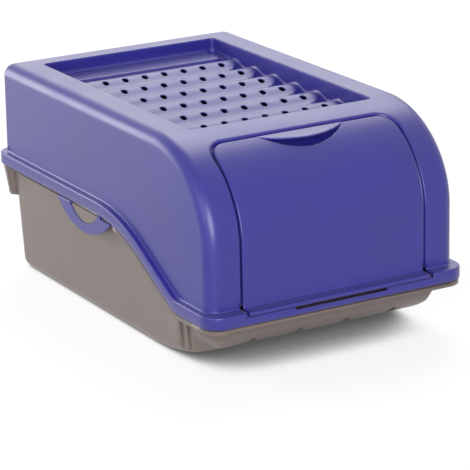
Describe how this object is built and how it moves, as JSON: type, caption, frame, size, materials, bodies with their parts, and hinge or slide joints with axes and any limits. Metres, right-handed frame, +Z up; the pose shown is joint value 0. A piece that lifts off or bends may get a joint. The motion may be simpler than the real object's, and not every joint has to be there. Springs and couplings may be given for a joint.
{
  "type": "potato storage bin",
  "caption": "Potato storage bin: bowl-fronted tub, vented hood that lifts off, drop-down front flap with a crescent grip, and a half-moon clip on each side.",
  "frame": {"origin": "on the ground under the middle of the hood's band, the widest and longest outline", "axes": "+Z up, -Y towards the front flap, +X to the right of someone who faces the flap"},
  "size_m": [0.3, 0.476, 0.229],
  "materials": {
    "tub_plastic": "taupe moulded polypropylene, satin",
    "hood_plastic": "violet blue moulded polypropylene, satin"
  },
  "bodies": {
    "tub": {"tub": "tub_plastic"},
    "hood": {"hood": "hood_plastic"},
    "flap": {"front_flap": "hood_plastic"},
    "left_clip": {"left_clip": "hood_plastic"},
    "right_clip": {"right_clip": "hood_plastic"}
  },
  "joints": [
    {"name": "hood_lift", "type": "slide", "parent": "tub", "child": "hood", "axis": [0, 0, 1], "range_m": [0, 0.15]},
    {"name": "flap_open", "type": "hinge", "parent": "hood", "child": "flap", "pos_m": [0, -0.2355, 0.068], "axis": [1, 0, 0], "range_deg": [0, 95]},
    {"name": "left_clip_open", "type": "hinge", "parent": "hood", "child": "left_clip", "pos_m": [-0.1488, 0.024, 0.1147], "axis": [0, 1, 0], "range_deg": [0, 75]},
    {"name": "right_clip_open", "type": "hinge", "parent": "hood", "child": "right_clip", "pos_m": [0.1488, 0.024, 0.1147], "axis": [0, -1, 0], "range_deg": [0, 75]}
  ]
}
